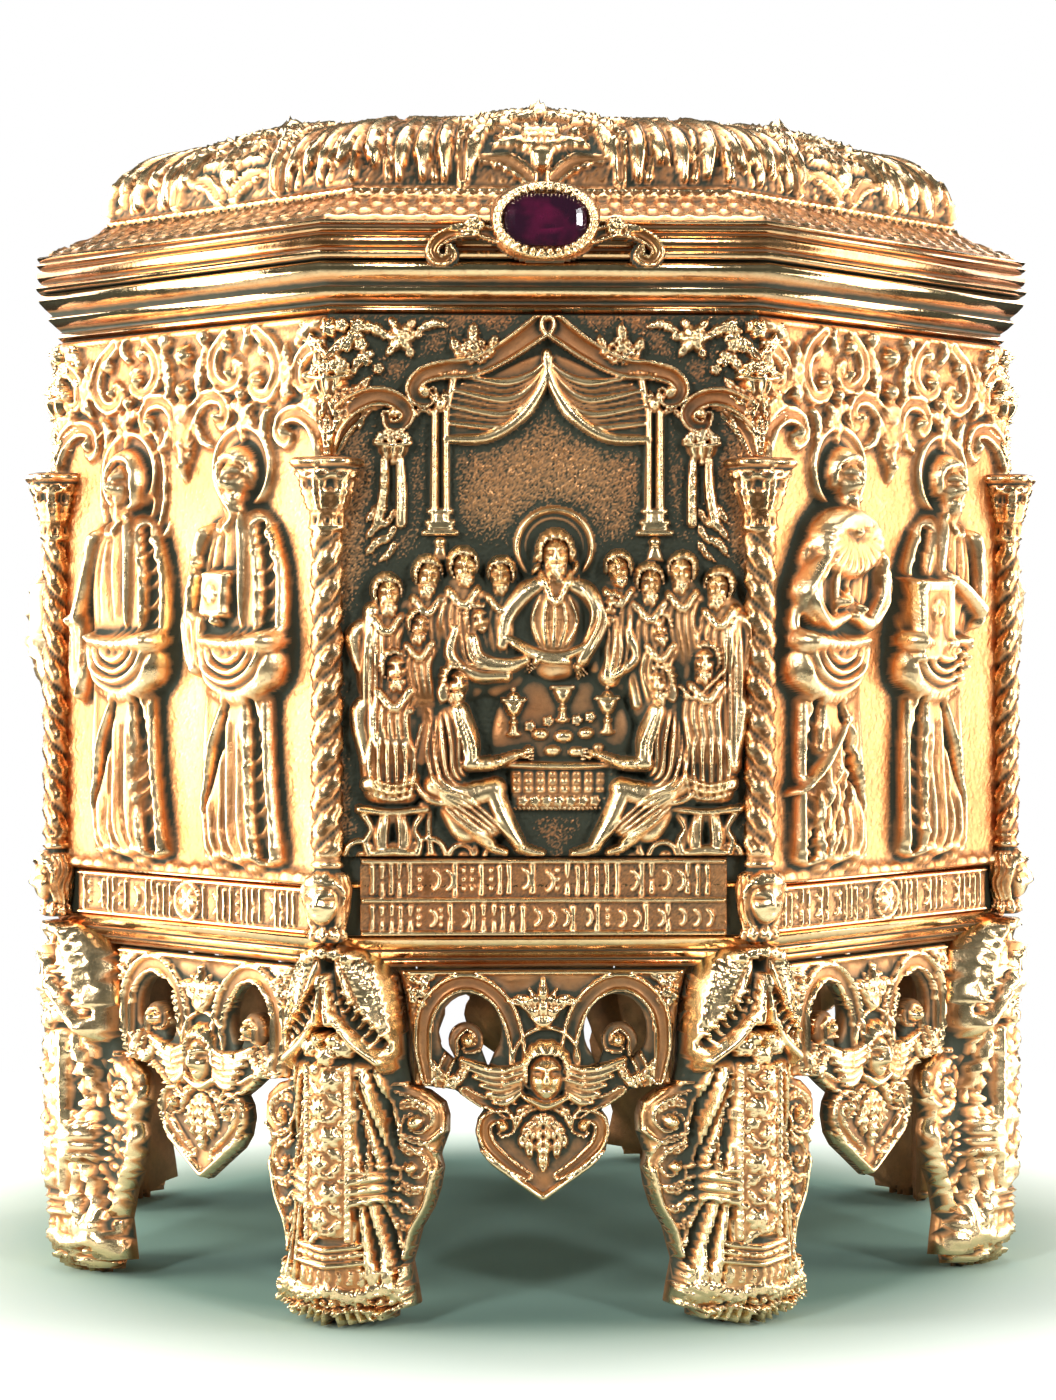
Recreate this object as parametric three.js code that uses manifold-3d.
// An eight-sided silver-gilt reliquary casket on eight cast legs, with a lift-off domed lid.
// Millimetres, +Z up, origin on the ground under the middle, front face towards -Y.
import * as THREE from 'three';
import { mergeVertices } from 'three/addons/utils/BufferGeometryUtils.js';
import Module from 'manifold-3d';

const wasm = await Module();
wasm.setup();

// ---- driving dimensions -------------------------------------------------------------------
const SIDES = 8;
const TURN = (2 * Math.PI) / SIDES;
const HALF = TURN / 2;
const GAP = 0.3; // clearance between touching pieces

const RIM_R = 115; // corner radius of the lid's rim, the widest part
const WALL_R = 108.6; // corner radius of the box wall
const SHEET = 1.2; // wall thickness of box and lid

const Z_APRON_TIP = 24;
const Z_FLOOR = 70.9; // underside of the box
const Z_MOULDING = 77.4; // top of the reeded moulding
const Z_LEDGE = 86.9; // shelf that the side figures stand on
const Z_SHELF_FRONT = 92.7; // shelf of the front scene
const Z_CAPITAL = 171; // top of the columns
const Z_CORNICE = 199.2; // underside of the cornice
const Z_MOUTH = 209.2; // top of the box
const Z_RIM_TOP = 216.4;
const Z_DOME = 224.4; // foot of the dome
const Z_TOP = 246; // crown of the dome

const COLUMN_R = 112; // radius on which the columns stand
const SHAFT_R = 2.7;
const SHAFT_SPREAD = 1.18; // the section is wider along the wall than out from it
const TWIST_RISE = 6.4; // height of one repeat of the spiral
const LEG_BACK = 103.9; // back of a leg, on the corner line
const LEG_FRONT = 114;
const APRON_BACK = 95.6; // distance of the apron's back from the middle
const APRON_THICK = 2;
const PLATE = 0.9; // sheet of the relief panels

// ---- materials ----------------------------------------------------------------------------
const GILT = { color: 0xc99a52, roughness: 0.33, metalness: 1 };
const STONE = { color: 0x2a1030, roughness: 0.05, metalness: 0 };

const root = new THREE.Group();

function addMesh(name, geometry, finish, turn = 0) {
  const mesh = new THREE.Mesh(geometry, new THREE.MeshStandardMaterial(finish));
  mesh.name = name;
  mesh.rotation.z = turn;
  root.add(mesh);
  return mesh;
}

// ---- solids from loops, and cutting -------------------------------------------------------

// Skins a stack of loops with the same number of points, and closes both ends with a fan.
function loft(loops, lean = () => false) {
  const count = loops[0].length;
  const points = loops.flat();
  const faces = [];
  for (let row = 0; row + 1 < loops.length; row++) {
    for (let i = 0; i < count; i++) {
      const j = (i + 1) % count;
      const a = row * count + i;
      const b = row * count + j;
      const c = a + count;
      const d = b + count;
      if (lean(row, i)) faces.push([a, b, c], [b, d, c]);
      else faces.push([a, b, d], [a, d, c]);
    }
  }
  for (const [row, up] of [[0, false], [loops.length - 1, true]]) {
    const centre = new THREE.Vector3();
    loops[row].forEach((p) => centre.add(p));
    const hub = points.push(centre.divideScalar(count)) - 1;
    for (let i = 0; i < count; i++) {
      const a = row * count + i;
      const b = row * count + ((i + 1) % count);
      faces.push(up ? [a, b, hub] : [b, a, hub]);
    }
  }
  return fromFaces(points, faces);
}

function fromFaces(points, faces) {
  const geometry = new THREE.BufferGeometry();
  const flat = points.flatMap((p) => p.toArray());
  geometry.setAttribute('position', new THREE.Float32BufferAttribute(flat, 3));
  geometry.setIndex(faces.flat());
  return geometry;
}

function toManifold(geometry) {
  const bare = geometry.clone();
  bare.deleteAttribute('normal');
  bare.deleteAttribute('uv');
  const merged = mergeVertices(bare, 1e-4);
  return new wasm.Manifold(new wasm.Mesh({
    numProp: 3,
    vertProperties: new Float32Array(merged.attributes.position.array),
    triVerts: new Uint32Array(merged.index.array),
  }));
}

// The outer skin of a solid; small voids left inside where several forms meet are filled.
function toGeometry(manifold) {
  const skin = manifold.decompose().reduce((a, b) => (a.volume() > b.volume() ? a : b));
  const mesh = skin.getMesh();
  const geometry = new THREE.BufferGeometry();
  geometry.setAttribute('position', new THREE.Float32BufferAttribute(mesh.vertProperties, 3));
  geometry.setIndex(Array.from(mesh.triVerts));
  return geometry;
}

// A flat outline from pairs, to extrude.
function shape(pairs) {
  return new THREE.Shape(pairs.map(([x, y]) => new THREE.Vector2(x, y)));
}

// An eight-sided turned solid: [corner radius, height] pairs from axis to axis.
function octagonSolid(profile) {
  const points = profile.map(([r, z]) => new THREE.Vector2(r, z));
  return new THREE.LatheGeometry(points, SIDES).rotateX(Math.PI / 2).rotateZ(HALF);
}

// ---- casket body --------------------------------------------------------------------------

// Reeded and plain mouldings of the box, from below: [corner radius, height].
function outerProfile() {
  const points = [[105.2, Z_FLOOR]];
  const reeds = 3;
  const rise = (Z_MOULDING - Z_FLOOR) / reeds;
  for (let i = 0; i < reeds; i++) {
    const r = 105.4 + 1.9 * i;
    const z = Z_FLOOR + rise * i;
    points.push([r + 1.6, z + 0.35 * rise], [r + 1.9, z + 0.75 * rise], [r + 1.3, z + 0.98 * rise]);
  }
  points.push([WALL_R + 0.2, Z_MOULDING + 0.3], [WALL_R + 0.2, Z_LEDGE - 0.9]);
  points.push([WALL_R + 1.6, Z_LEDGE - 0.8], [WALL_R + 1.6, Z_LEDGE], [WALL_R, Z_LEDGE + 0.05]);
  points.push([WALL_R, Z_CORNICE], [WALL_R + 1.4, Z_CORNICE + 0.1], [WALL_R + 1.5, Z_CORNICE + 1.6]);
  points.push([WALL_R + 2, Z_CORNICE + 3.6], [WALL_R + 3.4, Z_CORNICE + 5.6]);
  points.push([WALL_R + 5, Z_CORNICE + 6.6], [WALL_R + 5.4, Z_CORNICE + 8.2], [WALL_R + 5.2, Z_MOUTH]);
  return points;
}

function bodySolid() {
  const inner = WALL_R - SHEET / Math.cos(HALF);
  const profile = [
    [0, Z_FLOOR], ...outerProfile(), [inner, Z_MOUTH], [inner, Z_FLOOR + 1.6], [0, Z_FLOOR + 1.6],
  ];
  const shelfDepth = 2.4;
  const shelf = new THREE.BoxGeometry(72, shelfDepth, Z_SHELF_FRONT - Z_MOULDING - 0.6);
  const wallFront = WALL_R * Math.cos(HALF);
  shelf.translate(0, -wallFront - 1.4 + shelfDepth / 2, (Z_SHELF_FRONT + Z_MOULDING + 0.6) / 2);
  return toManifold(octagonSolid(profile)).add(toManifold(shelf));
}

// The box as a plain envelope grown by the clearance, turned so that a corner faces -Y.
// It cuts what leans against a corner.
function cornerCutter() {
  const profile = [
    [0, Z_FLOOR - GAP], [107.4, Z_FLOOR - GAP],
    [WALL_R + 2.6, Z_MOULDING - 1.6], [WALL_R + 2.6, Z_LEDGE + GAP],
    [WALL_R + GAP, Z_LEDGE + GAP], [WALL_R + GAP, Z_CORNICE], [0, Z_CORNICE],
  ];
  return toManifold(octagonSolid(profile).rotateZ(HALF));
}

// ---- lid ----------------------------------------------------------------------------------

const DOME_R = 98.3; // corner radius at the foot of the dome
const DOME_PROFILE = [[1, 0.2], [0.985, 0.43], [0.92, 0.65], [0.8, 0.84], [0.62, 0.94], [0.3, 1]];
const DOME_SKIN = 3.2; // how far the hollow stays inside the flutes
const FLUTES = 40;

// Corner radius of an eight-sided ring seen at one angle, rounded off by `soft` (0 to 1).
function octagonAt(angle, soft) {
  const local = ((((angle - HALF) % TURN) + TURN) % TURN) - HALF;
  const flat = Math.cos(HALF) / Math.cos(local);
  return THREE.MathUtils.lerp(flat, 0.965, soft);
}

// One level of the lid; `flute` deepens every other point, `boss` raises the middle of each side.
function ring(radius, z, { around = FLUTES, soft = 0, flute = 0, boss = 0 } = {}) {
  return Array.from({ length: around }, (_, i) => {
    const angle = (i / around) * 2 * Math.PI + HALF;
    const groove = flute * (i % 2 ? -1 : 0.6);
    const lift = boss * Math.max(0, -Math.cos((angle - HALF) * SIDES)) ** 3;
    const r = radius * octagonAt(angle, soft) + groove;
    return new THREE.Vector3(r * Math.cos(angle), r * Math.sin(angle), z + lift);
  });
}

function lidSolid() {
  const bottom = Z_MOUTH + GAP;
  const height = Z_TOP - Z_DOME;
  const outer = [
    ring(RIM_R - 8, bottom), ring(RIM_R - 0.6, bottom), ring(RIM_R, bottom + 1.4),
    ring(RIM_R - 0.4, Z_RIM_TOP), ring(DOME_R + 0.6, Z_DOME - 1),
  ];
  const inner = [
    ring(RIM_R - 8.6, bottom - 1, { around: SIDES }), ring(RIM_R - 8.6, bottom + 1.6, { around: SIDES }),
    ring(DOME_R - DOME_SKIN, Z_DOME - 2.6, { around: SIDES }),
  ];
  DOME_PROFILE.forEach(([r, t], level) => {
    const z = Z_DOME + height * t;
    const onShoulder = level < 4;
    outer.push(ring(DOME_R * r, z, {
      soft: 0.25 * t,
      flute: onShoulder ? 1.1 : 0.3,
      boss: level === 3 ? 2 : 0,
    }));
    if (t < 1) inner.push(ring(DOME_R * r - DOME_SKIN, z - 2.2, { around: SIDES }));
  });
  return toManifold(loft(outer)).subtract(toManifold(loft(inner)));
}

// ---- columns ------------------------------------------------------------------------------

// One corner column: acanthus capital, collar, spiral shaft and leafy corbel below.
function columnSolid(cutter, hand) {
  const around = 6;
  const loops = [];
  const addRing = (z, r, wobble = 0, phase = 0, out = 0) => {
    loops.push(Array.from({ length: around }, (_, i) => {
      const angle = (i / around) * 2 * Math.PI + Math.PI / around;
      const rr = r + wobble * ((i + phase) % 2 ? -1 : 1);
      const x = SHAFT_SPREAD * rr * Math.cos(angle);
      return new THREE.Vector3(x, -COLUMN_R - out + rr * Math.sin(angle), z);
    }));
  };
  addRing(76.4, 1.6, 0, 0, -0.4);
  addRing(81, 4, 0.4);
  addRing(88.5, 5.2, 0.3);
  const base = 91.4;
  const repeats = Math.round((156 - base) / TWIST_RISE);
  for (let i = 0; i <= repeats; i++) addRing(base + i * TWIST_RISE, SHAFT_R, 0.3, i);
  addRing(157.6, 3.6);
  addRing(160, 3.1);
  addRing(168.8, 5.4, 0.3);
  addRing(Z_CAPITAL, 5.8);
  const firstTwist = 3;
  const spiral = (row, i) => {
    const inShaft = row >= firstTwist && row < firstTwist + repeats;
    return inShaft && (i + row + (hand > 0 ? 1 : 0)) % 2 === 1;
  };
  return toManifold(loft(loops, spiral)).subtract(cutter);
}

// ---- legs ---------------------------------------------------------------------------------

// Half width of the cast leg at a height: winged head, sleeves, scroll brackets, robe and feet.
const LEG_WIDTHS = [
  [0, 10.2], [3.2, 10.4], [3.6, 14.4], [12.5, 13], [19, 14.6], [31, 18.6],
  [41.4, 19.6], [45.2, 18.8], [46, 12.4], [64.5, 10.9], [70, 9.6], [75.8, 6.2],
];

function legSolid(cutter) {
  const across = [-1, -0.6, -0.24, 0.24, 0.6, 1];
  const slope = Math.tan(HALF);
  const loops = LEG_WIDTHS.map(([z, w]) => {
    const body = z > 68 ? 6.5 : 8.6 - 0.8 * Math.cos(z / 7);
    const bulge = LEG_FRONT - LEG_BACK - (z > 68 ? 0 : 1.6 * Math.max(0, Math.sin((z - 12) / 20)));
    const plane = z < 3.4 ? 0.4 : 3.6;
    const front = across.map((s) => {
      const u = s * w;
      const back = LEG_BACK - slope * Math.abs(u);
      const round = LEG_BACK + bulge * Math.sqrt(Math.max(0, 1 - (u / body) ** 2));
      const v = Math.max(back + plane, round);
      return new THREE.Vector3(u, -v, z);
    });
    const back = [0.9, -0.9].map((s) => {
      return new THREE.Vector3(s * w, -LEG_BACK + slope * Math.abs(s * w), z);
    });
    return [...front, ...back];
  });
  return toManifold(loft(loops)).subtract(cutter);
}

// ---- aprons -------------------------------------------------------------------------------

// Pierced plaque between two legs: scrolls round two kidney-shaped openings, cherub and pendant.
function apronSolid() {
  const outline = new THREE.Shape();
  const right = [
    [28.4, 70.3], [27, 64.5], [25.8, 55], [25.4, 47.3], [20.5, 46.9], [17.4, 46.4],
    [14.4, 44.2], [11.6, 42.4], [13.4, 38], [12.4, 34.2], [6, 28.4], [0, Z_APRON_TIP],
  ];
  outline.moveTo(0, 70.3);
  right.forEach(([u, z]) => outline.lineTo(-u, z));
  right.slice(0, -1).reverse().forEach(([u, z]) => outline.lineTo(u, z));
  outline.closePath();
  for (const side of [-1, 1]) {
    const hole = new THREE.Path();
    const steps = 6;
    for (let i = 0; i <= steps; i++) {
      const t = Math.PI * (-0.62 + (1.36 * i) / steps);
      const p = [side * (14.8 + 6.6 * Math.cos(t)), 57.4 + 8.4 * Math.sin(t)];
      if (i) hole.lineTo(...p);
      else hole.moveTo(...p);
    }
    hole.lineTo(side * 14, 58.6);
    hole.closePath();
    outline.holes.push(hole);
  }
  const plate = new THREE.ExtrudeGeometry(outline, {
    depth: APRON_THICK,
    bevelEnabled: false,
    curveSegments: 6,
  });
  plate.rotateX(Math.PI / 2).translate(0, -APRON_BACK, 0);
  let solid = toManifold(plate);
  const face = APRON_BACK + APRON_THICK;
  const addBoss = (u, z, ru, rz, depth) => {
    const boss = new THREE.SphereGeometry(1, 6, 3).scale(ru, depth, rz).translate(u, -face, z);
    solid = solid.add(toManifold(boss));
  };
  addBoss(0, 51, 4.6, 5.6, 3.4); // cherub's head
  addBoss(-9, 46.5, 5.4, 3, 1.5); // wings
  addBoss(9, 46.5, 5.4, 3, 1.5);
  addBoss(0, 66, 5.6, 3.4, 1.4); // palmette
  return solid;
}

// ---- relief panels ------------------------------------------------------------------------

const PANEL_BACK = WALL_R * Math.cos(HALF) + GAP;
const PANEL_FACE = PANEL_BACK + PLATE;

// The beaten plate itself: it widens above the capitals to meet its neighbours at the corners.
function plainPlate(zFrom) {
  const shoulder = Z_CAPITAL + GAP;
  const levels = [[35.6, zFrom], [35.6, shoulder], [41.2, shoulder + 0.6], [41.2, Z_CORNICE - GAP]];
  const loops = levels.map(([w, z]) => [
    new THREE.Vector3(-w, -PANEL_FACE, z), new THREE.Vector3(w, -PANEL_FACE, z),
    new THREE.Vector3(w, -PANEL_BACK, z), new THREE.Vector3(-w, -PANEL_BACK, z),
  ]);
  return toManifold(loft(loops));
}

// A swelling beaten up from the plate: levels of [height, half width, relief] on one upright line.
function raised(u, levels, around = 6) {
  const sunk = 0.6; // how far the form reaches into the plate
  const loops = levels.map(([z, w, relief]) => Array.from({ length: around }, (_, i) => {
    const t = (i / around) * 2 * Math.PI;
    const out = Math.sin(t) > 0 ? relief * Math.sin(t) : sunk * Math.sin(t);
    return new THREE.Vector3(u - w * Math.cos(t), -PANEL_FACE - out, z);
  }));
  return toManifold(loft(loops));
}

function head(u, z, r, relief) {
  return raised(u, [[z - r, 0.5 * r, 0.5 * relief], [z, r, relief], [z + r, 0.5 * r, 0.5 * relief]]);
}

function nimbus(u, z, r) {
  return raised(u, [[z - r, 0.5 * r, 0.7], [z, r, 0.9], [z + r, 0.5 * r, 0.7]]);
}

function standingFigure(u) {
  const robe = raised(u, [[88, 7.4, 2], [112, 6.6, 3.2], [140, 9, 3.8], [156, 7.2, 2.6]]);
  return [nimbus(u, 166, 7.6), robe, head(u, 163, 3.6, 4.2)];
}

// Side face: two standing apostles under a band of leafage.
function sidePanel() {
  const leaves = [-26, 0, 26].map((u) => raised(u, [[176, 5, 1.4], [186, 11, 2.6], [195, 5, 1.4]]));
  return [...leaves, ...standingFigure(-19), ...standingFigure(19)]
    .reduce((solid, form) => solid.add(form), plainPlate(Z_LEDGE + GAP));
}

// Front face: the supper at a round table, under an ogee arch of scrolls.
function frontPanel() {
  const forms = [nimbus(0, 152, 8), head(0, 152, 3, 3.6)];
  forms.push(raised(0, [[130, 12, 2.4], [138, 11, 3], [146, 6, 2.2]])); // the host's bust
  // table and cloth
  forms.push(raised(0, [[104, 10.5, 2], [110, 11, 3], [112, 21, 3.6], [126, 17, 2.2]]));
  const seats = [[9.5, 149], [18, 146], [26, 150], [32, 141], [32, 128]];
  for (const side of [-1, 1]) {
    seats.forEach(([u, z]) => forms.push(head(side * u, z, 3, 3.2)));
    forms.push(raised(side * 27, [[112, 6, 2.4], [134, 8, 3.4], [142, 5, 1.6]])); // those who sit behind
    forms.push(head(side * 20, 127, 3.2, 5));
    forms.push(raised(side * 21, [[94, 6.5, 2], [108, 7.5, 5], [122, 6, 4.6]])); // those in front
  }
  const arch = [[41, 174], [31, 178], [24, 187], [10, 190], [0, 197.5]];
  for (const side of [-1, 1]) {
    const line = arch.map(([u, z]) => new THREE.Vector3(side * (u - 1.6), -PANEL_FACE - 0.9, z));
    const section = shape([[-1.4, -1.3], [1.4, -1.3], [1.4, 1.3], [-1.4, 1.3]]);
    const path = new THREE.CatmullRomCurve3(line);
    forms.push(toManifold(new THREE.ExtrudeGeometry(section, { steps: 8, extrudePath: path })));
  }
  return forms.reduce((solid, form) => solid.add(form), plainPlate(Z_SHELF_FRONT + GAP));
}

// ---- stone and its setting ----------------------------------------------------------------

const BEZEL = { z: 216.3, halfWidth: 10.8, halfHeight: 7.8, back: 106.7, depth: 4.8 };
const GEM = { halfWidth: 8.1, halfHeight: 5.1, thick: 3.4 };

// Rounded rectangle with the same number of points at every size, facing -Y.
function oval(halfWidth, halfHeight, y, power, count) {
  return Array.from({ length: count }, (_, i) => {
    const t = (i / count) * 2 * Math.PI;
    const x = halfWidth * Math.sign(Math.cos(t)) * Math.abs(Math.cos(t)) ** power;
    const z = halfHeight * Math.sign(Math.sin(t)) * Math.abs(Math.sin(t)) ** power;
    return new THREE.Vector3(x, y, BEZEL.z + z);
  });
}

function bezelSolid() {
  const { halfWidth: w, halfHeight: h, back, depth } = BEZEL;
  const count = 16;
  const cup = toManifold(loft([
    oval(w - 0.6, h - 0.6, -back, 0.9, count),
    oval(w, h, -back - 1.4, 0.9, count),
    oval(w - 0.3, h - 0.3, -back - 3.4, 0.9, count),
    oval(GEM.halfWidth + 0.9, GEM.halfHeight + 0.9, -back - depth, 0.6, count),
  ]));
  const seat = toManifold(loft([
    oval(GEM.halfWidth + GAP, GEM.halfHeight + GAP, -back - depth + GEM.thick, 0.5, count),
    oval(GEM.halfWidth + GAP, GEM.halfHeight + GAP, -back - depth - 1, 0.5, count),
  ]));
  let solid = cup.subtract(seat);
  for (const side of [-1, 1]) {
    const arm = [[9.4, -3.6], [14, -4.6], [19, -5.2], [23, -3.6], [23.6, -0.6], [20.4, -0.8]];
    const curve = new THREE.CatmullRomCurve3(
      arm.map(([x, z]) => new THREE.Vector3(side * x, -back - 1, BEZEL.z + z + 0.2)),
    );
    const section = shape([[-0.9, -0.9], [0.9, -0.9], [0, 1]]);
    const scroll = new THREE.ExtrudeGeometry(section, { steps: 8, extrudePath: curve });
    solid = solid.add(toManifold(scroll));
  }
  return solid;
}

function stoneSolid() {
  const { halfWidth: w, halfHeight: h, thick } = GEM;
  const front = -BEZEL.back - BEZEL.depth;
  return loft([
    oval(w - 2.4, h - 2.2, front + thick - GAP, 0.5, 12),
    oval(w, h, front + 1.6, 0.5, 12),
    oval(w, h, front + 0.6, 0.5, 12),
    oval(w - 1.4, h - 1.3, front - 0.6, 0.5, 12),
  ]);
}

// ---- assembly -----------------------------------------------------------------------------

const cutter = cornerCutter();
addMesh('casket_body', toGeometry(bodySolid()), GILT);
addMesh('lid', toGeometry(lidSolid()), GILT);
addMesh('gem_bezel', toGeometry(bezelSolid()), GILT);
addMesh('gem_stone', stoneSolid(), STONE);

const leg = toGeometry(legSolid(cutter));
const apron = toGeometry(apronSolid());
const plaque = toGeometry(sidePanel());
const columns = [toGeometry(columnSolid(cutter, 1)), toGeometry(columnSolid(cutter, -1))];

for (let side = 0; side < SIDES; side++) {
  const number = side + 1;
  const cornerTurn = (side - 0.5) * TURN;
  addMesh(`column_${number}`, columns[side % 2], GILT, cornerTurn);
  addMesh(`leg_angel_${number}`, leg, GILT, cornerTurn);
  addMesh(`apron_${number}`, apron, GILT, side * TURN);
  if (side === 0) addMesh('panel_front', toGeometry(frontPanel()), GILT);
  else addMesh(`panel_${number}`, plaque, GILT, side * TURN);
}

export default root;
